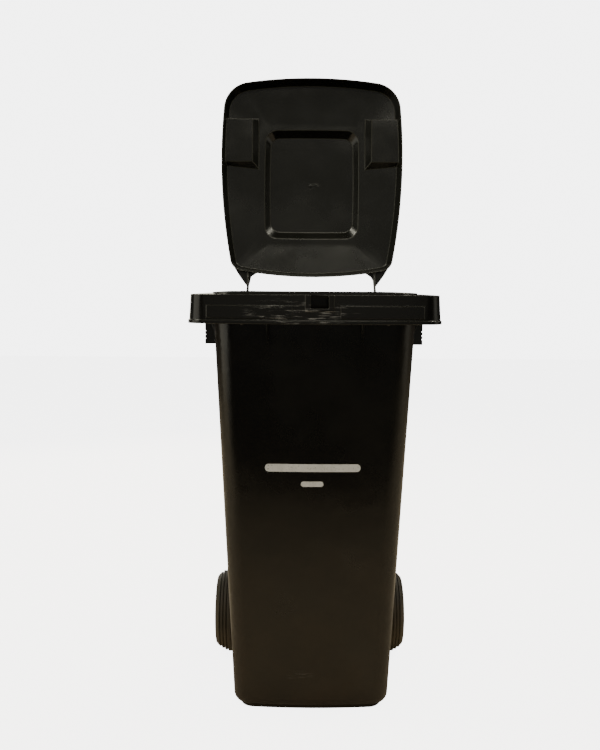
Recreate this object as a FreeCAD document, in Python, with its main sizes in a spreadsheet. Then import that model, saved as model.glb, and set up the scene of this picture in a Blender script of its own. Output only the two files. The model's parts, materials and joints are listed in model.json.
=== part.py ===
import FreeCAD, Part
import math
import os

import Sketcher
from FreeCAD import Placement, Rotation, Vector

# Two-wheeled refuse bin of the 120 litre class, in millimetres.
# X runs to the bin's right seen from the front, Y to the back, Z up; the floor is Z = 0.

doc = FreeCAD.newDocument("WheelieBin")
sheet = doc.addObject("Spreadsheet::Sheet", "Dims")

size = {
    # tub: a tapered shell, outlines given at the base and at the mouth
    "tub_height": 885, "wall": 4, "floor_top": 12, "sole": 5,
    "base_front": -202, "base_rear": 122, "base_front_half": 164.4, "base_rear_half": 163,
    "base_front_corner": 36, "base_rear_corner": 26,
    "base_front_bow": 1250, "base_rear_bow": 4000, "base_side_bow": 6000,
    "mouth_front": -297, "mouth_rear": 145, "mouth_front_half": 202, "mouth_rear_half": 197,
    "mouth_front_corner": 48, "mouth_rear_corner": 48,
    "mouth_front_bow": 1500, "mouth_rear_bow": 4000, "mouth_side_bow": 6000,
    "step_low": 84, "step_high": 94, "step_shelf": 188, "step_end": 260, "step_top": 354,
    "sole_round": 24, "step_round": 18,
    # foot ring under the base
    "floor_level": 0, "foot_wall": 7, "foot_top": 24, "foot_front": -190, "foot_rear": 74,
    "foot_front_half": 150, "foot_rear_half": 149,
    "foot_front_corner": 30, "foot_rear_corner": 20,
    "foot_front_bow": 1250, "foot_rear_bow": 4000, "foot_side_bow": 6000,
    # rim: web round the mouth with a drop skirt, deeper at the front comb
    "rim_top": 881, "rim_bottom": 825, "web": 4, "skirt": 4, "flare": 3.4,
    "rim_front": -322, "rim_rear": 163, "rim_front_half": 245, "rim_rear_half": 232,
    "lip_proud": -1.6, "lip_top": 832,
    "rim_front_corner": 36, "rim_rear_corner": 40,
    "rim_front_bow": 1500, "rim_rear_bow": 5000, "rim_side_bow": 5000,
    "side_skirt_bottom": 843, "comb_end": -262, "comb_slope": -240,
    # comb face: raised panels either side of a middle block, and an open-topped notch
    "panel_proud": -1.3, "panel_lean": 1.4, "panel_back": 3,
    "panel_low": 836, "panel_high": 860, "panel_far": 208,
    "panel_near_left": 44, "panel_near_right": 48,
    "notch_left": -9, "notch_right": 25, "notch_low": 855, "notch_back": -297.5,
    "frame_left": -19.5, "frame_right": 35.5, "frame_low": 849, "frame_face": -322.6,
    # ribs under the rim
    "rib": 4, "rib_root": -270, "rib_reach": -306, "rib_edge": 827, "rib_foot": 752,
    "hidden_root": -270, "hidden_reach": -306, "hidden_edge": 840, "hidden_foot": 812,
    "side_rib_root": 185, "side_rib_reach": 213, "side_rib_edge": 842, "side_rib_foot": 779,
    "grip_reach": 224, "grip_low": 778, "grip_high": 842, "grip_front": -176, "grip_long": 62,
    "groove": 2, "groove_step": 8, "first_groove": 788,
    "shown_rib": 90, "mid_rib": 140, "inner_rib": 56,
    "first_side_rib": 240, "second_side_rib": 60, "third_side_rib": -20, "fourth_side_rib": -100,
    # hinge lugs and handle bar, all on the hinge line
    "hinge_y": 209.5, "hinge_z": 872.4, "handle_radius": 12, "handle_half": 148,
    "lug_radius": 12.5, "lug_root": 110, "lug_root_top": 866, "lug_root_low": 812,
    "inner_lug": 141, "inner_lug_thick": 10, "outer_lug": 164, "outer_lug_thick": 12,
    "hinge_pin_radius": 5, "hinge_pin_start": 132, "hinge_pin_end": 176,
    "pin_head": 9, "pin_head_end": 179.5,
    # axle and its carriers on the lower rear wall
    "axle_y": 124.4, "axle_z": 100, "axle_radius": 10, "axle_end": 222, "axle_chamfer": 1.5,
    "axle_fit": 0.05, "latch_start": 211.5, "latch_end": 219.5, "latch_radius": 7.5,
    "carrier_radius": 19, "carrier": 8, "carrier_root": 60, "carrier_top": 158,
    "carrier_low": 46, "near_carrier": 58, "far_carrier": 148,
    # lid, from the hinge line, shut: Y runs forward as negative
    "lid_open": 96.2, "lid_wall": 3, "lid_edge": 9.6, "lid_flare": 9.7, "lid_shoulder": 39.6,
    "lid_front": -549, "lid_rear": -48, "lid_front_half": 222.5, "lid_rear_half": 204,
    "lid_front_corner": 70, "lid_rear_corner": 32,
    "lid_front_bow": 1120, "lid_rear_bow": 1000, "lid_side_bow": 1425,
    "hip_level": 47.6, "hip_front": -446, "hip_rear": -132, "hip_front_half": 134,
    "hip_rear_half": 134, "hip_front_corner": 26, "hip_rear_corner": 26,
    "hip_front_bow": 4000, "hip_rear_bow": 4000, "hip_side_bow": 4000,
    "top_level": 63.6, "top_front": -430, "top_rear": -147,
    "top_front_half": 121, "top_rear_half": 121, "top_front_corner": 34, "top_rear_corner": 34,
    "top_front_bow": 4000, "top_rear_bow": 4000, "top_side_bow": 4000,
    "crown_front": -413, "crown_rear": -165, "crown_front_half": 108, "crown_rear_half": 108,
    "crown_front_corner": 28, "crown_rear_corner": 28,
    "crown_front_bow": 4000, "crown_rear_bow": 4000, "crown_side_bow": 4000,
    "hollow_near": 153, "hollow_far": 260, "hollow_rear": 345, "hollow_front": 447,
    "hollow_floor": 28.6, "hollow_top": 60, "near_draft": 28, "front_draft": 6, "rear_draft": 28,
    "arm_near": 156.5, "arm": 4, "eye_near": 152, "eye": 11, "eye_radius": 11, "eye_fit": 0.05,
    "arm_root": -46, "arm_top": 33, "arm_low": 10.2, "arm_back": 24,
    "gusset_low": 19, "gusset_thick": 8, "centre_line": 0,
    "flare_tip": -25, "flare_first": 155, "flare_first_back": -42, "flare_second": 150,
    "flare_second_back": -51, "flare_third": 141, "flare_third_back": -57,
    "flare_inner": 128, "flare_inner_back": -64, "flare_far": 193, "flare_far_back": -72,
    "flare_outer": 181.5, "flare_outer_back": -53.5, "flare_waist": 166, "flare_waist_back": -32,
    # wheel, across the axle
    "wheel_radius": 100, "tyre_near": 182.5, "tyre_far": 226.5, "tyre_seat": 78,
    "shoulder": 8, "shoulder_flat": 5, "tread_deep": 2.5, "tread_wide": 3,
    "first_tread": 196, "second_tread": 204, "third_tread": 212, "tread_end": 218.5,
    "second_ridge": 97.3, "third_ridge": 93.3, "last_ridge": 88.8, "tyre_edge": 80,
    "skirt_thin": 1,
    "hub_near": 183.6, "hub_far": 222.6, "hub_radius": 22, "bush_radius": 14,
    "felly_near": 186, "felly_far": 224, "felly_radius": 73, "disc_near": 202, "disc_far": 207,
    "spoke_near": 190, "spoke_far": 219, "spoke": 4, "spoke_count": 8,
    "latch_x": 215.5, "boss_radius": 7, "boss_end": 34, "bore_radius": 3.2, "bore_end": 31.5,
    "latch_pin": 3, "latch_tip": 8, "tip_taper": 1, "latch_pin_end": 22, "spring_start": 22.2,
    "spring_end": 31.2, "spring_radius": 2.2, "spring_wire": 0.5, "spring_turns": 5,
    "cap_near": 222.6, "cap_far": 226.6, "cap_radius": 21, "cap_round": 2,
    "washer_near": 181.4, "washer_far": 182.6, "washer_radius": 21,
    "spacer_near": 156, "spacer_radius": 14,
}

for row, (word, value) in enumerate(size.items(), 1):
    sheet.set("A" + str(row), word)
    sheet.set("B" + str(row), str(value))
    sheet.setAlias("B" + str(row), word)
doc.recompute()


def total(terms):
    """Value of a sum of named sizes, such as "rim_top - web"."""
    value = 0.0
    sign = 1
    for word in terms.split():
        if word in ("+", "-"):
            sign = 1 if word == "+" else -1
        else:
            value += sign * size[word]
            sign = 1
    return value


def formula(terms):
    """The same sum as an expression on the sheet."""
    return " ".join(word if word in ("+", "-") else "Dims." + word for word in terms.split())


def negate(terms):
    """The sum with every sign turned over."""
    swap = {"+": "-", "-": "+"}
    turned_over = " ".join(swap.get(word, word) for word in terms.split())
    return turned_over[2:] if turned_over.startswith("+ ") else "- " + turned_over


def minus(terms, inset):
    return terms + " - " + inset.replace(" + ", " - ") if inset else terms


def plus(terms, inset):
    return terms + " + " + inset if inset else terms


def constrain(sketch, kind, terms, *where):
    index = sketch.addConstraint(Sketcher.Constraint(kind, *where, total(terms)))
    sketch.setExpression("Constraints[" + str(index) + "]", formula(terms))


def new_sketch(body, name, role, offset=""):
    sketch = body.newObject("Sketcher::SketchObject", name)
    base_plane = next(item for item in body.Origin.OriginFeatures if item.Role == role)
    sketch.AttachmentSupport = [(base_plane, "")]
    sketch.MapMode = "FlatFace"
    if offset:
        sketch.setExpression("AttachmentOffset.Base.z", formula(offset))
    return sketch


def direction(start, end):
    return math.atan2(end.y - start.y, end.x - start.x)


def side_centre(front, front_round, rear, rear_round, bow):
    """Centre of the side arc that touches both corner circles from outside."""
    reach_front = bow - front_round
    reach_rear = bow - rear_round
    chord = rear - front
    along = (reach_front ** 2 - reach_rear ** 2 + chord.Length ** 2) / (2 * chord.Length)
    across = math.sqrt(reach_front ** 2 - along ** 2)
    unit = chord / chord.Length
    return front + unit * along + Vector(-unit.y, unit.x, 0) * across


def outline(body, name, shape, height, inset=""):
    """Closed outline of four bowed sides and four tangent corners, seen from above."""
    front_round = total(minus(shape + "_front_corner", inset))
    rear_round = total(minus(shape + "_rear_corner", inset))
    front_x = total(shape + "_front_half - " + shape + "_front_corner")
    rear_x = total(shape + "_rear_half - " + shape + "_rear_corner")
    bows = [shape + "_front_bow", shape + "_side_bow", shape + "_rear_bow"]
    front_bow, side_bow, rear_bow = [total(minus(bow, inset)) for bow in bows]
    front_mid = Vector(0, total(shape + "_front + " + bows[0]), 0)
    rear_mid = Vector(0, total(shape + "_rear - " + bows[2]), 0)
    front_y = front_mid.y - math.sqrt((front_bow - front_round) ** 2 - front_x ** 2)
    rear_y = rear_mid.y + math.sqrt((rear_bow - rear_round) ** 2 - rear_x ** 2)
    right_front = Vector(front_x, front_y, 0)
    right_rear = Vector(rear_x, rear_y, 0)
    left_front = Vector(-front_x, front_y, 0)
    left_rear = Vector(-rear_x, rear_y, 0)
    right_mid = side_centre(right_front, front_round, right_rear, rear_round, side_bow)
    left_mid = Vector(-right_mid.x, right_mid.y, 0)
    # arcs run anticlockwise: front, corner, right side, corner, rear, corner, left side, corner
    centres = [front_mid, right_front, right_mid, right_rear,
               rear_mid, left_rear, left_mid, left_front]
    radii = [front_bow, front_round, side_bow, rear_round,
             rear_bow, rear_round, side_bow, front_round]
    joins = []
    for i in range(8):
        big, small = (i, (i + 1) % 8) if i % 2 == 0 else ((i + 1) % 8, i)
        joins.append(direction(centres[big], centres[small]))
    sketch = new_sketch(body, name, "XY_Plane", height)
    for i in range(8):
        start = joins[i - 1]
        end = joins[i]
        while end < start:
            end += 2 * math.pi
        circle = Part.Circle(centres[i], Vector(0, 0, 1), radii[i])
        sketch.addGeometry(Part.ArcOfCircle(circle, start, end), False)
    for i in range(8):
        sketch.addConstraint(Sketcher.Constraint("Tangent", i, 2, (i + 1) % 8, 1))
    names = ["front_bow", "front_corner", "side_bow", "rear_corner",
             "rear_bow", "rear_corner", "side_bow", "front_corner"]
    for i, word in enumerate(names):
        constrain(sketch, "Radius", minus(shape + "_" + word, inset), i)
    sketch.addConstraint(Sketcher.Constraint("PointOnObject", 0, 3, -2))
    sketch.addConstraint(Sketcher.Constraint("PointOnObject", 4, 3, -2))
    constrain(sketch, "DistanceY", shape + "_front + " + shape + "_front_bow", -1, 1, 0, 3)
    constrain(sketch, "DistanceY", shape + "_rear_bow - " + shape + "_rear", 4, 3, -1, 1)
    front_reach = shape + "_front_half - " + shape + "_front_corner"
    rear_reach = shape + "_rear_half - " + shape + "_rear_corner"
    constrain(sketch, "DistanceX", front_reach, -1, 1, 1, 3)
    constrain(sketch, "DistanceX", rear_reach, -1, 1, 3, 3)
    constrain(sketch, "DistanceX", rear_reach, 5, 3, -1, 1)
    constrain(sketch, "DistanceX", front_reach, 7, 3, -1, 1)
    return sketch


def polygon(body, name, role, points, offset=""):
    """Closed run of straight edges, every corner placed by named sizes."""
    sketch = new_sketch(body, name, role, offset)
    corners = [Vector(total(across), total(up), 0) for across, up in points]
    count = len(corners)
    for i in range(count):
        sketch.addGeometry(Part.LineSegment(corners[i], corners[(i + 1) % count]), False)
    for i in range(count):
        sketch.addConstraint(Sketcher.Constraint("Coincident", i, 2, (i + 1) % count, 1))
    for i, (across, up) in enumerate(points):
        if across == "centre_line":
            sketch.addConstraint(Sketcher.Constraint("PointOnObject", i, 1, -2))
        else:
            constrain(sketch, "DistanceX", across, -1, 1, i, 1)
        if up == "centre_line":
            sketch.addConstraint(Sketcher.Constraint("PointOnObject", i, 1, -1))
        else:
            constrain(sketch, "DistanceY", up, -1, 1, i, 1)
    return sketch


def tangent_outline(body, name, centre, radius, root, offset):
    """Outline of a lug: a round end joined by tangents to two points on a root line."""
    middle = Vector(total(centre[0]), total(centre[1]), 0)
    end_radius = total(radius)
    top = Vector(total(root[0]), total(root[1]), 0)
    low = Vector(total(root[0]), total(root[2]), 0)
    top_angle = direction(middle, top) - math.acos(end_radius / middle.distanceToPoint(top))
    low_angle = direction(middle, low) + math.acos(end_radius / middle.distanceToPoint(low))
    while low_angle > top_angle:
        low_angle -= 2 * math.pi
    sketch = new_sketch(body, name, "YZ_Plane", offset)
    circle = Part.Circle(middle, Vector(0, 0, 1), end_radius)
    arc = Part.ArcOfCircle(circle, low_angle, top_angle)
    sketch.addGeometry(arc, False)
    sketch.addGeometry(Part.LineSegment(arc.EndPoint, top), False)
    sketch.addGeometry(Part.LineSegment(top, low), False)
    sketch.addGeometry(Part.LineSegment(low, arc.StartPoint), False)
    sketch.addConstraint(Sketcher.Constraint("Tangent", 0, 2, 1, 1))
    sketch.addConstraint(Sketcher.Constraint("Coincident", 1, 2, 2, 1))
    sketch.addConstraint(Sketcher.Constraint("Coincident", 2, 2, 3, 1))
    sketch.addConstraint(Sketcher.Constraint("Tangent", 3, 2, 0, 1))
    constrain(sketch, "Radius", radius, 0)
    if centre[0] == "centre_line":
        sketch.addConstraint(Sketcher.Constraint("Coincident", 0, 3, -1, 1))
    else:
        constrain(sketch, "DistanceX", centre[0], -1, 1, 0, 3)
        constrain(sketch, "DistanceY", centre[1], -1, 1, 0, 3)
    constrain(sketch, "DistanceX", root[0], -1, 1, 2, 1)
    constrain(sketch, "DistanceY", root[1], -1, 1, 2, 1)
    constrain(sketch, "DistanceX", root[0], -1, 1, 3, 1)
    constrain(sketch, "DistanceY", root[2], -1, 1, 3, 1)
    return sketch


def pad(body, name, sketch, thickness, middle=False):
    feature = body.newObject("PartDesign::Pad", name)
    feature.Profile = (sketch, [""])
    feature.Midplane = middle
    feature.setExpression("Length", formula(thickness))
    doc.recompute()
    return feature


def new_body(name):
    return doc.addObject("PartDesign::Body", name)


def lug(name, centre, radius, root, offset, thickness):
    body = new_body(name)
    pad(body, name + "Pad", tangent_outline(body, name + "Outline", centre, radius, root, offset),
        thickness)
    return body


def plate(name, role, points, offset, thickness, middle=False):
    """Flat plate with straight edges, cut from the named origin plane."""
    body = new_body(name)
    pad(body, name + "Pad", polygon(body, name + "Outline", role, points, offset), thickness, middle)
    return body


def turned(name, points, role="XZ_Plane", axis="X_Axis"):
    """Lathe-turned piece: half profile revolved about the named origin axis."""
    body = new_body(name)
    sketch = polygon(body, name + "Profile", role, points)
    feature = body.newObject("PartDesign::Revolution", name + "Turn")
    feature.Profile = (sketch, [""])
    line = next(item for item in body.Origin.OriginFeatures if item.Role == axis)
    feature.ReferenceAxis = (line, [""])
    feature.Angle = 360
    doc.recompute()
    return body


def box(name, x, y, z):
    """Box between two named places along each axis."""
    item = doc.addObject("Part::Box", name)
    for side, letter, (low, high) in zip(("Length", "Width", "Height"), "xyz", (x, y, z)):
        item.setExpression(side, "(" + formula(high) + ") - (" + formula(low) + ")")
        item.setExpression("Placement.Base." + letter, formula(low))
    return item


def rod_x(name, radius, start, end, y, z):
    """Cylinder along X between two named places."""
    item = doc.addObject("Part::Cylinder", name)
    item.Placement = Placement(Vector(total(start), total(y), total(z)),
                               Rotation(Vector(0, 1, 0), 90))
    item.setExpression("Placement.Base.x", formula(start))
    item.setExpression("Placement.Base.y", formula(y))
    item.setExpression("Placement.Base.z", formula(z))
    item.setExpression("Radius", formula(radius))
    item.setExpression("Height", "(" + formula(end) + ") - (" + formula(start) + ")")
    return item


def fuse(name, pieces):
    item = doc.addObject("Part::MultiFuse", name)
    item.Shapes = pieces
    return item


def cut(name, base, tool):
    item = doc.addObject("Part::Cut", name)
    item.Base = base
    item.Tool = tool
    return item


def loft(body, name, sections):
    feature = body.newObject("PartDesign::AdditiveLoft", name)
    feature.Profile = (sections[0], [""])
    feature.Sections = [(section, [""]) for section in sections[1:]]
    feature.Ruled = True
    doc.recompute()
    return feature


def edges_where(feature, test):
    return ["Edge" + str(i) for i, edge in enumerate(feature.Shape.Edges, 1) if test(edge)]


def fillet(body, name, base, edges, radius):
    feature = body.newObject("PartDesign::Fillet", name)
    feature.Base = (base, edges)
    feature.setExpression("Radius", formula(radius))
    doc.recompute()
    return feature


def tub_volume(name, floor, inset=""):
    """The space inside the tub's outer skin, or inside its wall when inset by the wall."""
    body = doc.addObject("PartDesign::Body", name)
    sections = [outline(body, name + "Base", "base", floor, inset),
                outline(body, name + "Mouth", "mouth", "tub_height", inset)]
    loft(body, name + "Taper", sections)
    raised = plus("step_shelf", inset)
    points = [(minus("step_low", inset), "- wall"),
              (minus("step_high", inset), raised),
              (minus("step_end", inset), plus("step_top", inset)),
              ("step_end", "- wall")]
    step = polygon(body, name + "StepOutline", "YZ_Plane", points)
    pocket = body.newObject("PartDesign::Pocket", name + "Step")
    pocket.Profile = (step, [""])
    pocket.Midplane = True
    pocket.setExpression("Length", "4 * Dims.mouth_front_half")
    doc.recompute()
    low = total(floor)
    shelf = edges_where(pocket, lambda edge: edge.BoundBox.XLength > size["base_rear_half"]
                        and edge.BoundBox.ZLength < 1 and low + 50 < edge.BoundBox.ZMin < 300)
    rounded = fillet(body, name + "StepRound", pocket, shelf, minus("step_round", inset))
    sole = edges_where(rounded, lambda edge: edge.BoundBox.ZMax < low + 0.1)
    fillet(body, name + "SoleRound", rounded, sole, minus("sole_round", inset))
    return body


def layer(name, shape, low, high, inset="", draw_in=""):
    """Solid between two levels, its outline drawn in on the way up."""
    body = new_body(name)
    top_inset = inset + " + " + draw_in if inset and draw_in else inset or draw_in
    loft(body, name + "Taper", [outline(body, name + "Low", shape, low, inset),
                                outline(body, name + "High", shape, high, top_inset)])
    return body


def rim():
    """Web round the mouth with its drop skirt, hollow below; the sides are shallower."""
    outside = fuse("RimForm", [layer("RimOutside", "rim", "rim_bottom", "rim_top", "", "flare"),
                               layer("LipOutside", "rim", "rim_bottom", "lip_top", "lip_proud")])
    inside = layer("RimInside", "rim", "rim_bottom", "rim_top - web", "skirt", "flare")
    trim = plate("RimTrim", "YZ_Plane",
                 [("comb_end", "rim_bottom - web"), ("comb_slope", "side_skirt_bottom"),
                  ("step_end", "side_skirt_bottom"), ("step_end", "rim_bottom - web")],
                 "", "rim_front_half + rim_front_half + web", True)
    return cut("Rim", outside, fuse("RimCuts", [inside, trim]))


def comb_panels():
    """The two raised comb panels, following the bowed face."""
    face = layer("CombFace", "rim", "panel_low", "panel_high", "panel_proud", "panel_lean")
    back = layer("CombBack", "rim", "panel_low - web", "panel_high + web", "panel_back")
    depth = ("rim_front - web", "comb_end")
    height = ("panel_low", "panel_high")
    left = box("CombLeft", ("- panel_far", "- panel_near_left"), depth, height)
    right = box("CombRight", ("panel_near_right", "panel_far"), depth, height)
    panels = doc.addObject("Part::MultiCommon", "CombPanels")
    panels.Shapes = [cut("CombShell", face, back), fuse("CombBoxes", [left, right])]
    return panels


def front_ribs():
    """Upright ribs between the tub and the comb; two of them run on below the rim."""
    top = "rim_top - web"
    shown = [("rib_root", top), ("rib_reach", top), ("rib_reach", "rib_edge"),
             ("rib_root", "rib_foot")]
    hidden = [("hidden_root", top), ("hidden_reach", top), ("hidden_reach", "hidden_edge"),
              ("hidden_root", "hidden_foot")]
    ribs = []
    for place, points in (("shown_rib", shown), ("mid_rib", hidden), ("inner_rib", hidden)):
        ribs.append(plate("RightRib_" + place, "YZ_Plane", points, place, "rib"))
        ribs.append(plate("LeftRib_" + place, "YZ_Plane", points, "- " + place + " - rib", "rib"))
    return ribs


def side_ribs():
    """Cross ribs under each side of the rim, and the grooved lifting block."""
    pieces = []
    top = "rim_top - web"
    right = [("side_rib_root", top), ("side_rib_reach", top),
             ("side_rib_reach", "side_rib_edge"), ("side_rib_root", "side_rib_foot")]
    left = [("- " + across, up) for across, up in right]
    for place in ("first_side_rib", "second_side_rib", "third_side_rib", "fourth_side_rib"):
        for side, points in (("Right", right), ("Left", left)):
            pieces.append(plate(side + "Rib_" + place, "XZ_Plane", points, place, "rib"))
    depth = ("grip_front", "grip_front + grip_long")
    height = ("grip_low", "grip_high")
    for side, across in (("Right", ("side_rib_root", "grip_reach")),
                         ("Left", ("- grip_reach", "- side_rib_root"))):
        pieces.append(box(side + "Grip", across, depth, height))
    return pieces


def grip_grooves():
    """Fine level grooves across the outer face of each lifting block."""
    grooves = []
    depth = ("grip_front - web", "grip_front + grip_long + web")
    level = "first_groove"
    for row in ("First", "Second", "Third"):
        height = (level, level + " + groove")
        for side, across in (("Right", ("grip_reach - groove", "grip_reach + web")),
                             ("Left", ("- grip_reach - web", "- grip_reach + groove"))):
            grooves.append(box(side + row + "Groove", across, depth, height))
        level += " + groove_step"
    return grooves


def hinge_lugs():
    """Two lugs each side carry the hinge pin; the handle bar joins the inner pair."""
    pieces = [rod_x("HandleBar", "handle_radius", "- handle_half", "handle_half",
                    "hinge_y", "hinge_z")]
    centre = ("hinge_y", "hinge_z")
    root = ("lug_root", "lug_root_top", "lug_root_low")
    for near, thick in (("inner_lug", "inner_lug_thick"), ("outer_lug", "outer_lug_thick")):
        pieces.append(lug("Right_" + near, centre, "lug_radius", root, near, thick))
        pieces.append(lug("Left_" + near, centre, "lug_radius", root,
                          "- " + near + " - " + thick, thick))
    return pieces


def axle_carriers():
    """Four lugs behind the lower rear wall hold the axle."""
    centre = ("axle_y", "axle_z")
    root = ("carrier_root", "carrier_top", "carrier_low")
    pieces = []
    for place in ("near_carrier", "far_carrier"):
        pieces.append(lug("Right_" + place, centre, "carrier_radius", root, place, "carrier"))
        pieces.append(lug("Left_" + place, centre, "carrier_radius", root,
                          "- " + place + " - carrier", "carrier"))
    return pieces


def foot_ring():
    outside = layer("FootOutside", "foot", "floor_level", "foot_top")
    inside = layer("FootInside", "foot", "floor_level", "foot_top", "foot_wall")
    return cut("FootRing", outside, inside)


def container():
    skin = tub_volume("TubOutside", "sole")
    frame = box("NotchFrame", ("frame_left", "frame_right"), ("frame_face", "rim_front + skirt"),
                ("frame_low", "rim_top"))
    solid = fuse("ContainerSolid", [skin, rim(), comb_panels(), frame, foot_ring()]
                 + front_ribs() + side_ribs() + hinge_lugs() + axle_carriers())
    cavity = tub_volume("TubInside", "floor_top", "wall")
    notch = box("Notch", ("notch_left", "notch_right"), ("frame_face - web", "notch_back"),
                ("notch_low", "tub_height"))
    axle_bore = rod_x("AxleBore", "axle_radius + axle_fit", "- axle_end", "axle_end",
                      "axle_y", "axle_z")
    bores = [rod_x("RightPinBore", "hinge_pin_radius", "hinge_pin_start", "hinge_pin_end",
                   "hinge_y", "hinge_z"),
             rod_x("LeftPinBore", "hinge_pin_radius", "- hinge_pin_end", "- hinge_pin_start",
                   "hinge_y", "hinge_z")]
    tools = fuse("ContainerCuts", [cavity, notch, axle_bore] + bores + grip_grooves())
    return cut("Container", solid, tools)


# ---- lid, built shut with the hinge line as its origin, then swung open ----


def lid_volume(name, edge, inset=""):
    """Skirt, sloped hips and raised top panel, one above the other."""
    under = minus("lid_shoulder", inset)
    hip = minus("hip_level", inset)
    top = minus("top_level", inset)
    flare = plus("lid_flare", inset) if inset else "lid_flare"
    body = new_body(name)
    skirt_low = outline(body, name + "SkirtLow", "lid", edge, inset)
    skirt_high = outline(body, name + "SkirtHigh", "lid", under, flare)
    hip_high = outline(body, name + "HipHigh", "hip", hip, inset)
    top_low = outline(body, name + "TopLow", "top", hip, inset)
    top_high = outline(body, name + "TopHigh", "crown", top, inset)
    loft(body, name + "Skirt", [skirt_low, skirt_high])
    loft(body, name + "Hip", [skirt_high, hip_high])
    loft(body, name + "Top", [top_low, top_high])
    return body


def grip_hollow(name, side, inset=""):
    """Drafted hollow in the lid's side, open upwards and outwards, for the fingers."""
    body = new_body(name)
    sections = []
    for level in ("hollow_floor", "hollow_top"):
        near, front, rear = "hollow_near", "hollow_front", "hollow_rear"
        if level == "hollow_top":
            near, front, rear = near + " - near_draft", front + " + front_draft", rear + " - rear_draft"
        near, front, rear = minus(near, inset), negate(plus(front, inset)), negate(minus(rear, inset))
        points = [(near, front), ("hollow_far", front), ("hollow_far", rear), (near, rear)]
        if side == "Left":
            points = [(negate(across), up) for across, up in reversed(points)]
        height = minus("hollow_floor", inset) if level == "hollow_floor" else level
        sections.append(polygon(body, name + level, "XY_Plane", points, height))
    loft(body, name + "Taper", sections)
    return body


def lid_arms():
    """Blade, eye and flared root on each side, reaching back to the hinge line."""
    pieces = []
    centre = ("centre_line", "centre_line")
    root = ("arm_root", "arm_top", "arm_low")
    flare = [("flare_inner", "flare_inner_back"), ("flare_third", "flare_third_back"),
             ("flare_second", "flare_second_back"), ("flare_first", "flare_first_back"),
             ("arm_near", "flare_tip"), ("arm_near + arm", "flare_tip"),
             ("flare_waist", "flare_waist_back"), ("flare_outer", "flare_outer_back"),
             ("flare_far", "flare_far_back")]
    for side, sign in (("Right", ""), ("Left", "- ")):
        if sign:
            blade_start, eye_start = "- arm_near - arm", "- eye_near - eye"
            across = ("- arm_near - arm", "- arm_near")
            plan = [(negate(x), y) for x, y in flare]
        else:
            blade_start, eye_start = "arm_near", "eye_near"
            across = ("arm_near", "arm_near + arm")
            plan = flare
        pieces.append(lug(side + "Arm", centre, "eye_radius", root, blade_start, "arm"))
        pieces.append(box(side + "ArmRoot", across, ("arm_root - arm_back", "arm_root + web"),
                          ("arm_low", "arm_top")))
        pieces.append(plate(side + "ArmFlare", "XY_Plane", plan, "gusset_low", "gusset_thick"))
        pieces.append(rod_x(side + "Eye", "eye_radius", eye_start, eye_start + " + eye",
                            "centre_line", "centre_line"))
    return pieces


def lid():
    outside = lid_volume("LidOutside", "lid_edge")
    hollows = [grip_hollow(side + "Hollow", side) for side in ("Right", "Left")]
    skin = cut("LidSkin", outside, fuse("LidHollows", hollows))
    inside = lid_volume("LidInside", "lid_edge", "lid_wall")
    walls = [grip_hollow(side + "HollowWall", side, "lid_wall") for side in ("Right", "Left")]
    space = cut("LidSpace", inside, fuse("LidHollowWalls", walls))
    bore = rod_x("EyeBore", "hinge_pin_radius + eye_fit", "- hinge_pin_end", "hinge_pin_end",
                 "centre_line", "centre_line")
    solid = fuse("LidSolid", [skin] + lid_arms())
    shell = cut("Lid", solid, fuse("LidCuts", [space, bore]))
    shell.Placement = Placement(Vector(0, size["hinge_y"], size["hinge_z"]),
                                Rotation(Vector(1, 0, 0), -size["lid_open"]))
    shell.setExpression("Placement.Base.y", "Dims.hinge_y")
    shell.setExpression("Placement.Base.z", "Dims.hinge_z")
    return shell


# ---- turned pieces, drawn about the X axis on the right-hand side ----


def hinge_pin(name):
    return turned(name, [("hinge_pin_start", "centre_line"), ("pin_head_end", "centre_line"),
                         ("pin_head_end", "pin_head"), ("hinge_pin_end", "pin_head"),
                         ("hinge_pin_end", "hinge_pin_radius"),
                         ("hinge_pin_start", "hinge_pin_radius")])


def axle():
    """Steel rod with a latch groove near each end."""
    half = [("axle_end", "axle_radius - axle_chamfer"), ("axle_end - axle_chamfer", "axle_radius"),
            ("latch_end", "axle_radius"), ("latch_end", "latch_radius"),
            ("latch_start", "latch_radius"), ("latch_start", "axle_radius")]
    other = [(negate(along), radius) for along, radius in reversed(half)]
    return turned("Axle", [("axle_end", "centre_line")] + half + other
                  + [("- axle_end", "centre_line")])


def ring(name, near, far, bore, outer):
    return turned(name, [(near, bore), (far, bore), (far, outer), (near, outer)])


def tyre(name):
    """Solid domed tyre: ridges stepping down outwards with a groove between each pair."""
    points = [("tyre_near", "tyre_seat"), ("tyre_far", "tyre_seat"), ("tyre_far", "tyre_edge"),
              ("tread_end", "last_ridge")]
    for place, outer, inner in (("third_tread", "last_ridge", "third_ridge"),
                                ("second_tread", "third_ridge", "second_ridge"),
                                ("first_tread", "second_ridge", "wheel_radius")):
        points += [(place + " + tread_wide", outer), (place + " + tread_wide", outer + " - tread_deep"),
                   (place, outer + " - tread_deep"), (place, inner)]
    points += [("tyre_near + shoulder_flat", "wheel_radius"),
               ("tyre_near", "wheel_radius - shoulder")]
    return turned(name, points)


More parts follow.
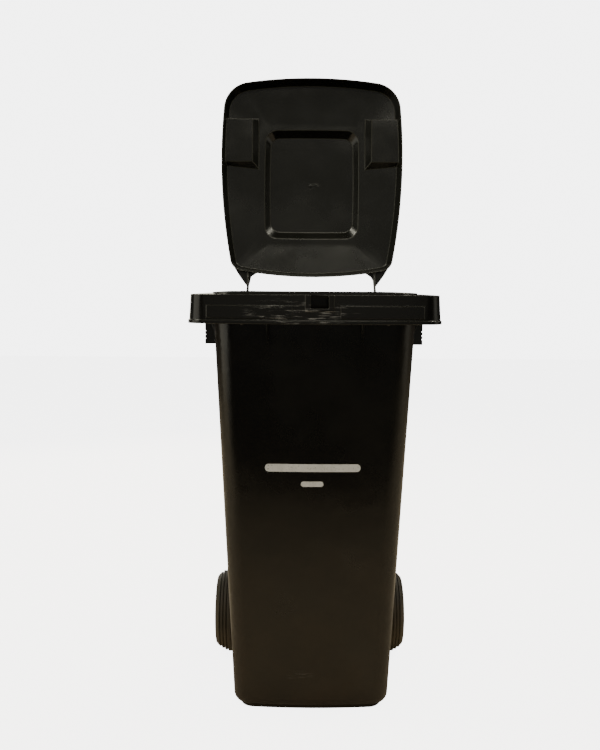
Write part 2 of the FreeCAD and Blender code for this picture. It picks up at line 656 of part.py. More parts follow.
def wheel_rim(name):
    """Hub, disc and felly turned as one, with spokes and a boss for the latch pin."""
    points = [("hub_near", "bush_radius"), ("hub_far", "bush_radius"),
              ("hub_far", "hub_radius"), ("disc_far", "hub_radius"),
              ("disc_far", "felly_radius"), ("felly_far", "felly_radius"),
              ("felly_far", "tyre_seat"), ("felly_near", "tyre_seat"),
              ("felly_near", "felly_radius"), ("disc_near", "felly_radius"),
              ("disc_near", "hub_radius"), ("hub_near", "hub_radius")]
    body = turned(name + "Turned", points)
    spoke = polygon(body, name + "SpokeOutline", "XZ_Plane",
                    [("spoke_near", "hub_radius - web"), ("spoke_far", "hub_radius - web"),
                     ("spoke_far", "felly_radius + skirt_thin"),
                     ("spoke_near", "felly_radius + skirt_thin")])
    first = pad(body, name + "Spoke", spoke, "spoke", True)
    pattern = body.newObject("PartDesign::PolarPattern", name + "Spokes")
    pattern.Originals = [first]
    line = next(item for item in body.Origin.OriginFeatures if item.Role == "X_Axis")
    pattern.Axis = (line, [""])
    pattern.Angle = 360
    pattern.setExpression("Occurrences", "Dims.spoke_count")
    body.Tip = pattern
    doc.recompute()
    boss = rod_z(name + "Boss", "boss_radius", "bush_radius + web", "boss_end")
    bore = rod_z(name + "PinBore", "bore_radius", "floor_level", "bore_end")
    return cut(name, fuse(name + "Solid", [body, boss]), bore)


def rod_z(name, radius, start, end):
    """Upright cylinder over the latch groove, measured from the axle's centre."""
    item = doc.addObject("Part::Cylinder", name)
    item.setExpression("Placement.Base.x", "Dims.latch_x")
    item.setExpression("Placement.Base.z", formula(start))
    item.setExpression("Radius", formula(radius))
    item.setExpression("Height", "(" + formula(end) + ") - (" + formula(start) + ")")
    return item


def wheel_bush(name):
    sleeve = ring(name + "Sleeve", "hub_near", "hub_far", "axle_radius + axle_fit", "bush_radius")
    return cut(name, sleeve, rod_z(name + "PinHole", "bore_radius", "floor_level", "bore_end"))


def lock_pin(name):
    """Latch pin with a tapered tip that rides in the axle's groove."""
    points = [("centre_line", "latch_tip"), ("latch_pin - tip_taper", "latch_tip"),
              ("latch_pin", "latch_tip + tip_taper"), ("latch_pin", "latch_pin_end"),
              ("centre_line", "latch_pin_end")]
    return turned(name, points, "XZ_Plane", "Z_Axis")


def lock_spring(name):
    body = new_body(name)
    sketch = new_sketch(body, name + "Wire", "XZ_Plane")
    start = Vector(size["spring_radius"], total("spring_start + spring_wire"), 0)
    sketch.addGeometry(Part.Circle(start, Vector(0, 0, 1), size["spring_wire"]), False)
    constrain(sketch, "Radius", "spring_wire", 0)
    constrain(sketch, "DistanceX", "spring_radius", -1, 1, 0, 3)
    constrain(sketch, "DistanceY", "spring_start + spring_wire", -1, 1, 0, 3)
    coil = body.newObject("PartDesign::AdditiveHelix", name + "Coil")
    coil.Profile = (sketch, [""])
    coil.ReferenceAxis = (sketch, ["V_Axis"])
    coil.Mode = 2
    coil.setExpression("Turns", "Dims.spring_turns")
    coil.setExpression("Height", formula("spring_end - spring_start - spring_wire - spring_wire"))
    doc.recompute()
    return body


def hub_cap(name):
    """Dished cap snapped over the end of the hub."""
    return turned(name, [("cap_near", "centre_line"), ("cap_far", "centre_line"),
                         ("cap_far", "cap_radius - cap_round"),
                         ("cap_far - cap_round", "cap_radius"), ("cap_near", "cap_radius")])


def placed(piece, label, side, y, z, x="centre_line"):
    """Name a piece, and stand it on the right, or half a turn round Z on the left."""
    piece.Label = label
    turn = Rotation(Vector(0, 0, 1), 180 if side == "left" else 0)
    across = -total(x) if side == "left" else total(x)
    piece.Placement = Placement(Vector(across, total(y), total(z)), turn)
    return piece


nodes = []
tub = container()
tub.Label = "container"
cover = lid()
cover.Label = "lid"
rod = placed(axle(), "axle", "right", "axle_y", "axle_z")
nodes += [tub, cover, rod]
for side in ("left", "right"):
    pin = hinge_pin(side + "_pin")
    nodes.append(placed(pin, side + "_hinge_pin", side, "hinge_y", "hinge_z"))
    wheel = [
        (tyre, "tyre", "centre_line"), (wheel_rim, "wheel_rim", "centre_line"),
        (wheel_bush, "wheel_bush", "centre_line"), (hub_cap, "hub_cap", "centre_line"),
        (lock_spring, "lock_spring", "latch_x"), (lock_pin, "lock_pin", "latch_x"),
    ]
    for make, word, across in wheel:
        nodes.append(placed(make(side + "_" + word + "_shape"), side + "_" + word, side,
                            "axle_y", "axle_z", across))
    washer = ring(side + "_washer", "washer_near", "washer_far", "axle_radius + axle_fit",
                  "washer_radius")
    nodes.append(placed(washer, side + "_thrust_washer", side, "axle_y", "axle_z"))
    spacer = ring(side + "_spacer", "spacer_near", "washer_near", "axle_radius + axle_fit",
                  "spacer_radius")
    nodes.append(placed(spacer, side + "_axle_spacer", side, "axle_y", "axle_z"))

doc.recompute()
for item in doc.Objects:
    if "Invalid" in item.State or "Error" in item.State:
        raise RuntimeError(item.Name + " failed: " + str(item.State))
for node in nodes:
    if node.Shape.isNull() or not node.Shape.isValid():
        raise RuntimeError(node.Label + " has no valid shape")
    bounds = node.Shape.BoundBox
    print(node.Label, len(node.Shape.Solids), round(node.Shape.Volume / 1000, 1), "cm3",
          [round(v, 1) for v in (bounds.XMin, bounds.XMax, bounds.YMin, bounds.YMax,
                                 bounds.ZMin, bounds.ZMax)])

os.makedirs("parts", exist_ok=True)
for node in nodes:
    node.Shape.exportStep("parts/" + node.Label + ".step")
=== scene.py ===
import json
import math

import bpy
from mathutils import Matrix, Vector


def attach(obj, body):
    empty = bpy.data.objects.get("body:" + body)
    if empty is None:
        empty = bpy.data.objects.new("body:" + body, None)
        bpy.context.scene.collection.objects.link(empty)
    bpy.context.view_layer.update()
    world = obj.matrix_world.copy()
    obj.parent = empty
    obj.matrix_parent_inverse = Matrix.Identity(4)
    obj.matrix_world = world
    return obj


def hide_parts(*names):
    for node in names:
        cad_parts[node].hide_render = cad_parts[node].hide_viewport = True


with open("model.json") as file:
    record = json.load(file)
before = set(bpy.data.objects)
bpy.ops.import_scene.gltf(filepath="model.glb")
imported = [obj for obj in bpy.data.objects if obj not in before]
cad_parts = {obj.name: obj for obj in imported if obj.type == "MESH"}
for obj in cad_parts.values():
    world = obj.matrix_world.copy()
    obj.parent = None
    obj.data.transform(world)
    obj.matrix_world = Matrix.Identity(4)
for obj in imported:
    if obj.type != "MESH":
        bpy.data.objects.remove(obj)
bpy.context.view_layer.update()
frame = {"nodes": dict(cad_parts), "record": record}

nodes = frame["nodes"]
print("frame loaded:", len(nodes), "nodes")


def deselectAll():
    if bpy.context.object and bpy.context.object.mode != "OBJECT":
        bpy.ops.object.mode_set(mode="OBJECT")
    bpy.ops.object.select_all(action="DESELECT")


def pick(piece):
    deselectAll()
    piece.select_set(True)
    bpy.context.view_layer.objects.active = piece


cameraSetup = {
    "place": (-0.0343, -1.9739, 0.8968),
    "pitchDown": 5.8,  # degrees, as are the next two
    "yawRight": 0.2,
    "roll": 0.4,
    "lens": 41.92,
    "sensorWidth": 36,
}


def makeCamera():
    data = bpy.data.cameras.new("studioCamera")
    data.lens = cameraSetup["lens"]
    data.sensor_width = cameraSetup["sensorWidth"]
    camera = bpy.data.objects.new("studioCamera", data)
    bpy.context.scene.collection.objects.link(camera)
    turn = Matrix.Rotation(math.radians(-cameraSetup["yawRight"]), 4, "Z")
    tip = Matrix.Rotation(math.radians(90 - cameraSetup["pitchDown"]), 4, "X")
    roll = Matrix.Rotation(math.radians(cameraSetup["roll"]), 4, "Z")
    camera.matrix_world = Matrix.Translation(cameraSetup["place"]) @ turn @ tip @ roll
    bpy.context.scene.camera = camera


roomSetup = {
    "color": (1, 1, 1, 1),
    "glow": 5.4,  # what the camera sees of the room
    "light": 0.05,  # what the bin gets from it
}


def makeRoom():
    world = bpy.data.worlds.new("studioRoom")
    bpy.context.scene.world = world
    world.use_nodes = True
    tree = world.node_tree
    background = tree.nodes["Background"]
    background.inputs["Color"].default_value = roomSetup["color"]
    path = tree.nodes.new("ShaderNodeLightPath")
    level = tree.nodes.new("ShaderNodeMix")
    level.inputs["A"].default_value = roomSetup["light"]
    level.inputs["B"].default_value = roomSetup["glow"]
    tree.links.new(path.outputs["Is Camera Ray"], level.inputs["Factor"])
    tree.links.new(level.outputs["Result"], background.inputs["Strength"])


floorSetup = {
    "front": -1.05,
    "back": 9.0,
    "side": 9.0,
    "paper": (0.80, 0.68, 0.52, 1),
    "glow": 4.9,  # what the camera sees on top of the lit paper
}


def paperMaterial():
    # pale paper: plain diffuse for the light it throws, with a glow the camera alone sees
    material = bpy.data.materials.new("studioPaper")
    material.use_nodes = True
    tree = material.node_tree
    tree.nodes.clear()
    output = tree.nodes.new("ShaderNodeOutputMaterial")
    paper = tree.nodes.new("ShaderNodeBsdfDiffuse")
    paper.inputs["Color"].default_value = floorSetup["paper"]
    glow = tree.nodes.new("ShaderNodeEmission")
    path = tree.nodes.new("ShaderNodeLightPath")
    seen = tree.nodes.new("ShaderNodeMath")
    seen.operation = "MULTIPLY"
    seen.inputs[1].default_value = floorSetup["glow"]
    both = tree.nodes.new("ShaderNodeAddShader")
    tree.links.new(path.outputs["Is Camera Ray"], seen.inputs[0])
    tree.links.new(seen.outputs[0], glow.inputs["Strength"])
    tree.links.new(paper.outputs[0], both.inputs[0])
    tree.links.new(glow.outputs[0], both.inputs[1])
    tree.links.new(both.outputs[0], output.inputs["Surface"])
    return material


def makeFloor():
    deselectAll()
    bpy.ops.mesh.primitive_plane_add(size=1, location=(0, 0, 0))
    floor = bpy.context.object
    floor.name = "paleFloor"
    front, back = floorSetup["front"], floorSetup["back"]
    floor.data.transform(Matrix.Diagonal((floorSetup["side"] * 2, back - front, 1, 1)))
    floor.data.transform(Matrix.Translation((0, (front + back) / 2, 0)))
    floor.data.materials.append(paperMaterial())


lampColor = (1.0, 0.965, 0.81)
lamps = {
    "leftWall": {"place": (-2.6, -1.0, 1.0), "aim": (0, 0, 0.6), "size": (2.2, 2.2), "watts": 20},
    "rightWall": {"place": (2.7, -0.4, 1.1), "aim": (0, 0, 0.7), "size": (1.2, 2.0), "watts": 5},
    "leftCeiling": {"place": (-1.7, -0.1, 2.9), "aim": (0, 0.1, 1.0), "size": (0.7, 0.7), "watts": 24},
    "rightCeiling": {"place": (1.7, -0.1, 2.9), "aim": (0, 0.1, 1.0), "size": (0.7, 0.7), "watts": 24},
    "frontCeiling": {"place": (0.1, -2.4, 3.4), "aim": (0, 0, 0.8), "size": (1.6, 0.7), "watts": 30},
    "backWall": {"place": (-1.2, 2.6, 1.6), "aim": (0, 0.1, 0.7), "size": (2.0, 2.0), "watts": 30},
    "backCeiling": {"place": (1.3, 2.0, 2.8), "aim": (0, 0.1, 0.8), "size": (1.2, 1.2), "watts": 30},
    "frontCard": {"place": (0.0, -2.9, 1.6), "aim": (0, 0, 0.95), "size": (3.2, 2.9), "watts": 6.2},
}


def makeLamp(name, place, aim, size, watts):
    data = bpy.data.lights.new(name, "AREA")
    data.shape = "RECTANGLE"
    data.size, data.size_y = size
    data.energy = watts
    data.color = lampColor
    lamp = bpy.data.objects.new(name, data)
    lamp.location = place
    lamp.rotation_euler = (Vector(aim) - Vector(place)).to_track_quat("-Z", "Y").to_euler()
    bpy.context.scene.collection.objects.link(lamp)


makeCamera()
makeRoom()
makeFloor()
for name, values in lamps.items():
    makeLamp(name, **values)
print("studio set:", len(lamps), "lamps")


def newGroup(name, inputs, outputs):
    group = bpy.data.node_groups.new(name, "ShaderNodeTree")
    for label, kind, value in inputs:
        socket = group.interface.new_socket(name=label, in_out="INPUT", socket_type=kind)
        socket.default_value = value
    for label, kind in outputs:
        group.interface.new_socket(name=label, in_out="OUTPUT", socket_type=kind)
    start = group.nodes.new("NodeGroupInput")
    end = group.nodes.new("NodeGroupOutput")
    return group, start, end


def addNode(tree, kind, settings=None, values=None):
    node = tree.nodes.new(kind)
    for key, value in (settings or {}).items():
        setattr(node, key, value)
    for key, value in (values or {}).items():
        node.inputs[key].default_value = value
    return node


def feed(tree, slot, item):
    # a plain value is set, and anything else is another node's output
    if isinstance(item, (int, float, tuple)):
        slot.default_value = item
    else:
        tree.links.new(item, slot)


def mathNode(tree, operation, first, second=None, clamp=False):
    node = addNode(tree, "ShaderNodeMath", {"operation": operation, "use_clamp": clamp})
    feed(tree, node.inputs[0], first)
    if second is not None:
        feed(tree, node.inputs[1], second)
    return node.outputs[0]


def noiseNode(tree, vector, size, detail, roughness=0.55):
    node = addNode(tree, "ShaderNodeTexNoise", None, {"Detail": detail, "Roughness": roughness})
    feed(tree, node.inputs["Scale"], size)
    tree.links.new(vector, node.inputs["Vector"])
    return node.outputs[0]


def rangeNode(tree, value, low, high, outLow=0.0, outHigh=1.0):
    node = addNode(tree, "ShaderNodeMapRange", {"interpolation_type": "SMOOTHSTEP"})
    feed(tree, node.inputs["Value"], value)
    feed(tree, node.inputs["From Min"], low)
    feed(tree, node.inputs["From Max"], high)
    feed(tree, node.inputs["To Min"], outLow)
    feed(tree, node.inputs["To Max"], outHigh)
    return node.outputs[0]


def mixColor(tree, factor, first, second):
    node = addNode(tree, "ShaderNodeMix", {"data_type": "RGBA"})
    for label, item in (("Factor", factor), ("A", first), ("B", second)):
        slot = [s for s in node.inputs if s.name == label and s.enabled][0]
        feed(tree, slot, item)
    return [s for s in node.outputs if s.enabled][0]


def stretchedCoords(tree, stretch):
    coords = addNode(tree, "ShaderNodeTexCoord").outputs["Object"]
    drawn = addNode(tree, "ShaderNodeMapping", None, {"Scale": stretch})
    tree.links.new(coords, drawn.inputs["Vector"])
    return coords, drawn.outputs[0]


def addBump(tree, shader, height, strength, depth):
    bump = addNode(tree, "ShaderNodeBump", None, {"Strength": strength, "Distance": depth})
    tree.links.new(height, bump.inputs["Height"])
    tree.links.new(bump.outputs[0], shader.inputs["Normal"])


# every noise is its size, detail and, where it isn't the usual one, roughness
skinPattern = {
    "pebbleDetail": 2.0,
    "pebbleShare": 0.005,
    "waveDetail": 2.0,
    "waveRoughness": 0.4,
    "patchNoise": (5.0, 5.0, 0.6),
    "patchRange": (0.35, 0.7),
    "sheenRange": (-0.05, 0.09),
}


def buildSkinGroup():
    # moulded skin: fine pebble, a slow waviness from cooling, and patches of other sheen
    group, start, end = newGroup(
        "mouldedSkin",
        [("Pebble Size", "NodeSocketFloat", 900.0), ("Wave Size", "NodeSocketFloat", 16.0),
         ("Wave Share", "NodeSocketFloat", 0.8)],
        [("Height", "NodeSocketFloat"), ("Sheen Change", "NodeSocketFloat")])
    coords = addNode(group, "ShaderNodeTexCoord").outputs["Object"]
    pebble = noiseNode(group, coords, start.outputs["Pebble Size"], skinPattern["pebbleDetail"])
    wave = noiseNode(group, coords, start.outputs["Wave Size"], skinPattern["waveDetail"],
                     skinPattern["waveRoughness"])
    weighed = mathNode(group, "MULTIPLY", wave, start.outputs["Wave Share"])
    fine = mathNode(group, "MULTIPLY", pebble, skinPattern["pebbleShare"])
    group.links.new(mathNode(group, "ADD", fine, weighed), end.inputs["Height"])
    patch = noiseNode(group, coords, *skinPattern["patchNoise"])
    sheen = rangeNode(group, patch, *skinPattern["patchRange"], *skinPattern["sheenRange"])
    group.links.new(sheen, end.inputs["Sheen Change"])
    return group


dustPattern = {
    "cloudNoise": (9.0, 6.0, 0.62),
    "cloudRange": (0.3, 0.75),
    "cloudShare": 0.6,
    "evenShare": 0.4,
    "speckNoise": (420.0, 2.0),
    "speckRange": (0.6, 0.75),
    "speckShare": 0.05,
}


def buildDustGroup():
    # road dust: thick at the base height, gone at the top height, and broken up by noise
    group, start, end = newGroup(
        "roadDust",
        [("Top", "NodeSocketFloat", 0.5), ("Base", "NodeSocketFloat", 0.0),
         ("Amount", "NodeSocketFloat", 0.6)],
        [("Mask", "NodeSocketFloat")])
    coords = addNode(group, "ShaderNodeTexCoord").outputs["Object"]
    split = addNode(group, "ShaderNodeSeparateXYZ")
    group.links.new(coords, split.inputs[0])
    low = rangeNode(group, split.outputs["Z"], start.outputs["Base"], start.outputs["Top"], 1.0, 0.0)
    cloud = rangeNode(group, noiseNode(group, coords, *dustPattern["cloudNoise"]),
                      *dustPattern["cloudRange"])
    speck = rangeNode(group, noiseNode(group, coords, *dustPattern["speckNoise"]),
                      *dustPattern["speckRange"])
    cloudy = mathNode(group, "MULTIPLY", cloud, dustPattern["cloudShare"])
    cover = mathNode(group, "ADD", cloudy, dustPattern["evenShare"])
    broken = mathNode(group, "MULTIPLY", low, cover)
    specks = mathNode(group, "MULTIPLY", speck, dustPattern["speckShare"])
    spotted = mathNode(group, "ADD", broken, specks)
    mask = mathNode(group, "MULTIPLY", spotted, start.outputs["Amount"], True)
    group.links.new(mask, end.inputs["Mask"])
    return group


scuffPattern = {
    "stretch": (0.16, 1.0, 1.9),  # draws the streaks out along X
    "streakNoise": (160.0, 5.0, 0.7),
    "streakRange": (0.52, 0.74),
    "fadeFrom": 0.3,  # share of the half width and height where the marks start to fade
    "depthFadeFrom": 0.8,
}


def buildScuffGroup():
    # pale rubbed streaks gathered round one place
    group, start, end = newGroup(
        "rubbedScuffs",
        [("Centre", "NodeSocketVector", (0, 0, 0)), ("Half Width", "NodeSocketFloat", 0.09),
         ("Half Height", "NodeSocketFloat", 0.02), ("Half Depth", "NodeSocketFloat", 0.02),
         ("Amount", "NodeSocketFloat", 0.6)],
        [("Mask", "NodeSocketFloat")])
    coords, drawn = stretchedCoords(group, scuffPattern["stretch"])
    offset = addNode(group, "ShaderNodeVectorMath", {"operation": "SUBTRACT"})
    group.links.new(coords, offset.inputs[0])
    group.links.new(start.outputs["Centre"], offset.inputs[1])
    split = addNode(group, "ShaderNodeSeparateXYZ")
    group.links.new(offset.outputs[0], split.inputs[0])
    across = mathNode(group, "DIVIDE", split.outputs["X"], start.outputs["Half Width"])
    along = mathNode(group, "DIVIDE", split.outputs["Y"], start.outputs["Half Depth"])
    up = mathNode(group, "DIVIDE", split.outputs["Z"], start.outputs["Half Height"])
    squares = mathNode(group, "ADD", mathNode(group, "MULTIPLY", across, across),
                       mathNode(group, "MULTIPLY", up, up))
    reach = mathNode(group, "SQRT", squares)
    close = rangeNode(group, reach, scuffPattern["fadeFrom"], 1.0, 1.0, 0.0)
    depth = mathNode(group, "ABSOLUTE", along)
    facing = rangeNode(group, depth, scuffPattern["depthFadeFrom"], 1.0, 1.0, 0.0)
    near = mathNode(group, "MULTIPLY", close, facing)
    streak = rangeNode(group, noiseNode(group, drawn, *scuffPattern["streakNoise"]),
                       *scuffPattern["streakRange"])
    marks = mathNode(group, "MULTIPLY", near, streak)
    mask = mathNode(group, "MULTIPLY", marks, start.outputs["Amount"], True)
    group.links.new(mask, end.inputs["Mask"])
    return group


skinGroup = buildSkinGroup()
dustGroup = buildDustGroup()
scuffGroup = buildScuffGroup()
print("pattern groups built")


def newMaterial(name, roughness, specular):
    material = bpy.data.materials.new(name)
    material.use_nodes = True
    tree = material.node_tree
    shader = tree.nodes["Principled BSDF"]
    shader.inputs["Roughness"].default_value = roughness
    shader.inputs["Specular IOR Level"].default_value = specular
    return material, tree, shader


def placeGroup(tree, group, values):
    node = tree.nodes.new("ShaderNodeGroup")
    node.node_tree = group
    for key, value in values.items():
        node.inputs[key].default_value = value
    return node


dustDulls = 0.35  # roughness that full dust adds


def mouldedMaterial(name, look, color):
    material, tree, shader = newMaterial(name, look["roughness"], look["specular"])
    skin = placeGroup(tree, skinGroup, look["skin"])
    dust = placeGroup(tree, dustGroup, look["dust"]).outputs["Mask"]
    surface = mixColor(tree, dust, color, look["dustColor"])
    for mark in look.get("marks", []):
        mask = placeGroup(tree, scuffGroup, mark).outputs["Mask"]
        surface = mixColor(tree, mask, surface, look["markColor"])
    tree.links.new(surface, shader.inputs["Base Color"])
    sheen = mathNode(tree, "ADD", skin.outputs["Sheen Change"], look["roughness"])
    dulled = mathNode(tree, "ADD", sheen, mathNode(tree, "MULTIPLY", dust, dustDulls), True)
    tree.links.new(dulled, shader.inputs["Roughness"])
    addBump(tree, shader, skin.outputs["Height"], 1.0, look["bumpDepth"])
    return material


tubLook = {
    "color": (0.0042, 0.0036, 0.0022, 1),
    # the paler edge colour is a painted highlight on the rounded edges
    "paintedEdgeHighlight": (0.020, 0.019, 0.014, 1),
    "dustColor": (0.052, 0.033, 0.016, 1),
    "markColor": (0.72, 0.70, 0.66, 1),
    "roughness": 0.27,
    "specular": 0.45,
    "bumpDepth": 0.0012,
    "skin": {"Pebble Size": 1100.0, "Wave Size": 14.0, "Wave Share": 1.0},
    "dust": {"Top": 0.62, "Amount": 0.42},
    "marks": [
        # rubbed rim round the notch, then a faint bloom where the tub was filled
        {"Centre": (-0.03, -0.325, 0.846), "Half Width": 0.13, "Half Height": 0.032, "Amount": 0.85},
        {"Centre": (-0.025, -0.215, 0.084), "Half Width": 0.035, "Half Height": 0.02, "Amount": 0.12},
    ],
}

lidLook = {
    "color": (0.0050, 0.0053, 0.0036, 1),
    # the paler edge colour is a painted highlight on the rounded edges
    "paintedEdgeHighlight": (0.030, 0.029, 0.022, 1),
    "dustColor": (0.05, 0.047, 0.036, 1),
    "markColor": (0.30, 0.30, 0.28, 1),
    "roughness": 0.22,
    "specular": 0.5,
    "bumpDepth": 0.0010,
    "skin": {"Pebble Size": 1200.0, "Wave Size": 12.0, "Wave Share": 0.8},
    "dust": {"Top": 1.6, "Base": 0.8, "Amount": 0.12},
    "marks": [
        # bloom where the lid was filled
        {"Centre": (-0.002, 0.295, 1.152), "Half Width": 0.03, "Half Height": 0.016, "Amount": 0.5},
    ],
}

smallSkin = {"Pebble Size": 1500.0, "Wave Size": 40.0, "Wave Share": 0.2}
dustBrown = (0.05, 0.04, 0.029, 1)

wheelLook = {
    "color": (0.010, 0.010, 0.009, 1),
    "dustColor": dustBrown,
    "roughness": 0.42,
    "specular": 0.45,
    "bumpDepth": 0.0003,
    "skin": smallSkin,
    "dust": {"Top": 0.3, "Amount": 0.6},
}

pinLook = {
    "color": (0.012, 0.012, 0.011, 1),
    "dustColor": dustBrown,
    "roughness": 0.38,
    "specular": 0.5,
    "bumpDepth": 0.0002,
    "skin": smallSkin,
    "dust": {"Top": 0.3, "Amount": 0.2},
}

washerLook = {
    "color": (0.52, 0.50, 0.43, 1),
    "dustColor": dustBrown,
    "roughness": 0.35,
    "specular": 0.5,
    "bumpDepth": 0.0001,
    "skin": smallSkin,
    "dust": {"Top": 0.3, "Amount": 0.4},
}

tyreLook = {
    "color": (0.018, 0.016, 0.013, 1),
    "dustColor": (0.13, 0.105, 0.07, 1),
    "roughness": 0.5,
    "specular": 0.4,
    "bumpDepth": 0.0005,
    "skin": smallSkin,
    "dust": {"Top": 0.3, "Amount": 0.9},
}

steelPattern = {
    "specular": 0.5,
    "stretch": (0.05, 1.0, 1.0),  # drawn along X, as the axle is
    "streakNoise": (900.0, 3.0),
    "streakRange": (0.3, 0.7),
    "streakGloss": 0.08,
    "streakDull": 0.14,
    "tarnishNoise": (60.0, 5.0),
    "tarnishRange": (0.4, 0.75),
    "tarnishShade": 0.45,
    "bumpStrength": 0.5,
    "bumpDepth": 0.0001,
}


def steelMaterial(name, color, roughness):
    material, tree, shader = newMaterial(name, roughness, steelPattern["specular"])
    shader.inputs["Metallic"].default_value = 1.0
    coords, drawn = stretchedCoords(tree, steelPattern["stretch"])
    streak = noiseNode(tree, drawn, *steelPattern["streakNoise"])
    tarnish = rangeNode(tree, noiseNode(tree, coords, *steelPattern["tarnishNoise"]),
                        *steelPattern["tarnishRange"])
    darker = tuple(c * steelPattern["tarnishShade"] for c in color[:3]) + (1,)
    tree.links.new(mixColor(tree, tarnish, color, darker), shader.inputs["Base Color"])
    gloss = roughness - steelPattern["streakGloss"]
    dull = roughness + steelPattern["streakDull"]
    tree.links.new(rangeNode(tree, streak, *steelPattern["streakRange"], gloss, dull),
                   shader.inputs["Roughness"])
    addBump(tree, shader, streak, steelPattern["bumpStrength"], steelPattern["bumpDepth"])
    return material


finishes = {
    "tub_plastic": mouldedMaterial("blackTubPlastic", tubLook, tubLook["color"]),
    "lid_plastic": mouldedMaterial("blackLidPlastic", lidLook, lidLook["color"]),
    "wheel_plastic": mouldedMaterial("blackWheelPlastic", wheelLook, wheelLook["color"]),
    "pin_plastic": mouldedMaterial("blackPinPlastic", pinLook, pinLook["color"]),
    "washer_plastic": mouldedMaterial("creamBushPlastic", washerLook, washerLook["color"]),
    "tyre_rubber": mouldedMaterial("blackTyreRubber", tyreLook, tyreLook["color"]),
    "axle_steel": steelMaterial("drawnAxleSteel", color=(0.52, 0.51, 0.49, 1), roughness=0.34),
    "spring_steel": steelMaterial("springWire", color=(0.42, 0.42, 0.43, 1), roughness=0.28),
}

# rounded edges get a paler colour than the faces: a painted highlight standing in for the light that
# catches them
paintedEdgeHighlightFinishes = {
    "tub_plastic": mouldedMaterial("paintedHighlightTubEdge", tubLook, tubLook["paintedEdgeHighlight"]),
    "lid_plastic": mouldedMaterial("paintedHighlightLidEdge", lidLook, lidLook["paintedEdgeHighlight"]),
}

for part in frame["record"]["subparts"]:
    mesh = nodes[part["node"]].data
    mesh.materials.clear()
    mesh.materials.append(finishes[part["material_slot"]])
print("materials made:", len(finishes) + len(paintedEdgeHighlightFinishes))


# mouldings with softened edges, each in place of its node
mouldings = {
    "tubMoulding": {"node": "container", "body": "bin", "slot": "tub_plastic", "radius": 0.0012},
    "lidMoulding": {"node": "lid", "body": "lid", "slot": "lid_plastic", "radius": 0.0016},
    "leftTyreMoulding": {"node": "left_tyre", "body": "left_wheel", "slot": "tyre_rubber",
                         "radius": 0.0011},
    "rightTyreMoulding": {"node": "right_tyre", "body": "right_wheel", "slot": "tyre_rubber",
                          "radius": 0.0011},
    "leftRimMoulding": {"node": "left_wheel_rim", "body": "left_wheel", "slot": "wheel_plastic",
                        "radius": 0.0007},
    "rightRimMoulding": {"node": "right_wheel_rim", "body": "right_wheel", "slot": "wheel_plastic",
                         "radius": 0.0007},
    "leftCapMoulding": {"node": "left_hub_cap", "body": "left_wheel", "slot": "wheel_plastic",
                        "radius": 0.0006},
    "rightCapMoulding": {"node": "right_hub_cap", "body": "right_wheel", "slot": "wheel_plastic",
                         "radius": 0.0006},
}

softening = {
    "weldGap": 0.00002,
    "flatAngle": 0.4,  # degrees, as are the other angles
    "edgeAngle": 32,
    "edgeSteps": 3,
    "smoothAngle": 30,
    "faceWeight": 80,
}


def softenedMoulding(name, node, body, slot, radius):
    piece = bpy.data.objects.new(name, nodes[node].data.copy())
    bpy.context.scene.collection.objects.link(piece)
    # the second slot holds the painted edge highlight colour
    if slot in paintedEdgeHighlightFinishes:
        piece.data.materials.append(paintedEdgeHighlightFinishes[slot])
    pick(piece)
    bpy.ops.mesh.customdata_custom_splitnormals_clear()
    bpy.ops.object.mode_set(mode="EDIT")
    bpy.ops.mesh.select_all(action="SELECT")
    bpy.ops.mesh.remove_doubles(threshold=softening["weldGap"])
    bpy.ops.mesh.dissolve_limited(angle_limit=math.radians(softening["flatAngle"]))
    bpy.ops.object.mode_set(mode="OBJECT")
    bevel = piece.modifiers.new("softEdges", "BEVEL")
    bevel.limit_method = "ANGLE"
    bevel.angle_limit = math.radians(softening["edgeAngle"])
    bevel.width = radius
    bevel.segments = softening["edgeSteps"]
    bevel.loop_slide = False
    bevel.use_clamp_overlap = False
    if slot in paintedEdgeHighlightFinishes:
        bevel.material = 1  # the painted edge highlight
    bpy.ops.object.modifier_apply(modifier=bevel.name)
    bpy.ops.object.shade_smooth_by_angle(angle=math.radians(softening["smoothAngle"]))
    even = piece.modifiers.new("evenShading", "WEIGHTED_NORMAL")
    even.keep_sharp = True
    even.weight = softening["faceWeight"]
    bpy.ops.object.modifier_apply(modifier=even.name)
    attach(piece, body)
    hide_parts(node)
    return piece


pieces = {name: softenedMoulding(name, **values) for name, values in mouldings.items()}
print("mouldings softened:", len(pieces))


# plain printed bars on the front
printLook = {
    "roughness": (0.42, 0.6),
    "specular": 0.4,
    "flakeNoise": (380.0, 5.0, 0.7),
    "flakeRange": (0.30, 0.42),
    "softNoise": (60.0, 4.0),
    "softRange": (0.3, 0.7),
    "darkInk": (0.86, 0.86, 0.84, 1),
    "paleInk": (0.97, 0.97, 0.96, 1),
    "under": (0.10, 0.095, 0.08, 1),  # shows where the ink has flaked off
    "bumpStrength": 0.4,
    "bumpDepth": 0.0001,
}


def printMaterial():
    material, tree, shader = newMaterial("whitePrintInk", max(printLook["roughness"]),
                                         printLook["specular"])
    coords = addNode(tree, "ShaderNodeTexCoord").outputs["Object"]
    flakes = rangeNode(tree, noiseNode(tree, coords, *printLook["flakeNoise"]),
                       *printLook["flakeRange"])
    soft = rangeNode(tree, noiseNode(tree, coords, *printLook["softNoise"]), *printLook["softRange"])
    ink = mixColor(tree, soft, printLook["darkInk"], printLook["paleInk"])
    worn = mixColor(tree, flakes, printLook["under"], ink)
    tree.links.new(worn, shader.inputs["Base Color"])
    tree.links.new(rangeNode(tree, soft, 0.0, 1.0, *printLook["roughness"]),
                   shader.inputs["Roughness"])
    addBump(tree, shader, flakes, printLook["bumpStrength"], printLook["bumpDepth"])
    return material


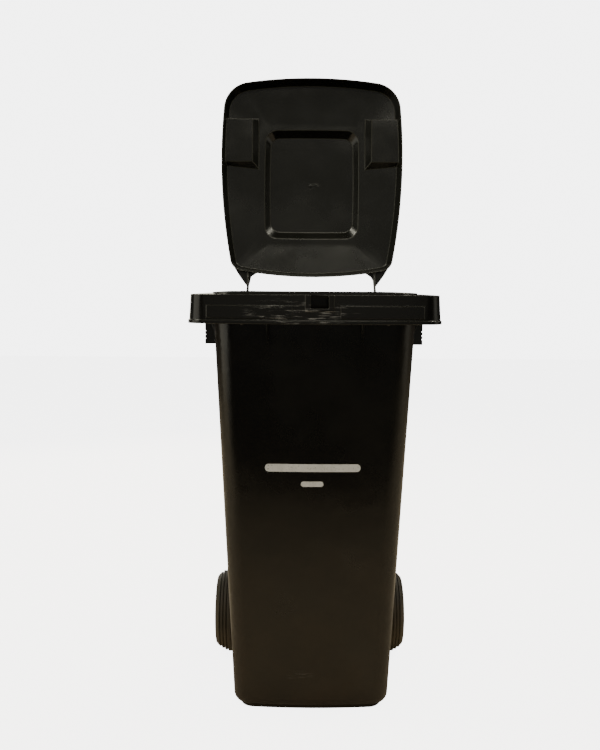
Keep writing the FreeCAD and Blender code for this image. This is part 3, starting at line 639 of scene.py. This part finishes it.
printShape = {
    "bars": [
        # left, right, low, high
        (-0.097, 0.094, 0.528, 0.544),
        (-0.025, 0.020, 0.497, 0.508),
    ],
    "rounding": 0.46,  # corner size as a share of a bar's height
    "roundingSteps": 8,
    "inFront": -0.40,  # where the bars start before they are pushed back onto the wall
    "strip": 0.012,  # width of the strips that let a bar bend with the wall
    "lift": 0.00025,
    "ink": 0.0002,
}


def addBar(left, right, low, high):
    bpy.ops.mesh.select_all(action="DESELECT")
    bpy.ops.mesh.primitive_plane_add(size=1, location=(0, 0, 0))
    bpy.ops.transform.resize(value=(right - left, high - low, 1))
    bpy.ops.transform.rotate(value=math.radians(-90), orient_axis="X", center_override=(0, 0, 0))
    bpy.ops.transform.translate(
        value=((left + right) / 2, printShape["inFront"], (low + high) / 2))
    bpy.ops.mesh.bevel(offset=(high - low) * printShape["rounding"], affect="VERTICES",
                       segments=printShape["roundingSteps"])


def printedBars():
    mesh = bpy.data.meshes.new("frontPrint")
    piece = bpy.data.objects.new("frontPrint", mesh)
    bpy.context.scene.collection.objects.link(piece)
    pick(piece)
    bpy.ops.object.mode_set(mode="EDIT")
    for bar in printShape["bars"]:
        addBar(*bar)
    left, right = printShape["bars"][0][:2]
    for cut in range(1, int((right - left) / printShape["strip"])):
        bpy.ops.mesh.select_all(action="SELECT")
        bpy.ops.mesh.bisect(plane_co=(left + cut * printShape["strip"], 0, 0),
                            plane_no=(1, 0, 0))
    bpy.ops.object.mode_set(mode="OBJECT")
    hug = piece.modifiers.new("hugWall", "SHRINKWRAP")
    hug.wrap_method = "PROJECT"
    hug.use_project_y = True
    hug.use_positive_direction = True
    hug.use_negative_direction = True
    hug.target = pieces["tubMoulding"]
    hug.offset = printShape["lift"]
    ink = piece.modifiers.new("inkDepth", "SOLIDIFY")
    ink.thickness = printShape["ink"]
    ink.offset = 0
    bpy.ops.object.modifier_apply(modifier=hug.name)
    bpy.ops.object.modifier_apply(modifier=ink.name)
    piece.data.materials.append(printMaterial())
    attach(piece, "bin")


printedBars()
print("print placed:", len(printShape["bars"]), "bars")


# gate stubs, left where the mouldings were filled: each sits where a line from its start,
# straight back, meets the moulding
gateStubs = {
    "lidGateStub": {"start": (-0.004, -0.5, 1.152), "moulding": "lidMoulding", "body": "lid",
                    "slot": "lid_plastic", "height": 0.0016},
    "tubGateStub": {"start": (-0.022, -0.5, 0.084), "moulding": "tubMoulding", "body": "bin",
                    "slot": "tub_plastic", "height": 0.0008},
}

stubShape = {
    "radius": 0.0035,
    "sides": 24,
    "rounding": 0.35,  # share of the height
    "roundingSteps": 3,
    "lift": 0.3,  # share of the height from the surface to the stub's middle
    "smoothAngle": 40,
}


def gateStub(name, start, moulding, body, slot, height):
    place, normal = pieces[moulding].ray_cast(Vector(start), Vector((0, 1, 0)))[1:3]
    deselectAll()
    bpy.ops.mesh.primitive_cylinder_add(vertices=stubShape["sides"], radius=stubShape["radius"],
                                        depth=height)
    piece = bpy.context.object
    piece.name = name
    bpy.ops.object.mode_set(mode="EDIT")
    bpy.ops.mesh.select_all(action="SELECT")
    bpy.ops.mesh.bevel(offset=height * stubShape["rounding"], segments=stubShape["roundingSteps"])
    bpy.ops.object.mode_set(mode="OBJECT")
    turn = normal.to_track_quat("Z", "Y").to_matrix().to_4x4()
    piece.data.transform(Matrix.Translation(place + normal * height * stubShape["lift"]) @ turn)
    bpy.ops.object.shade_smooth_by_angle(angle=math.radians(stubShape["smoothAngle"]))
    piece.data.materials.append(finishes[slot])
    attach(piece, body)


for name, values in gateStubs.items():
    gateStub(name, **values)
print("gate stubs placed:", len(gateStubs))
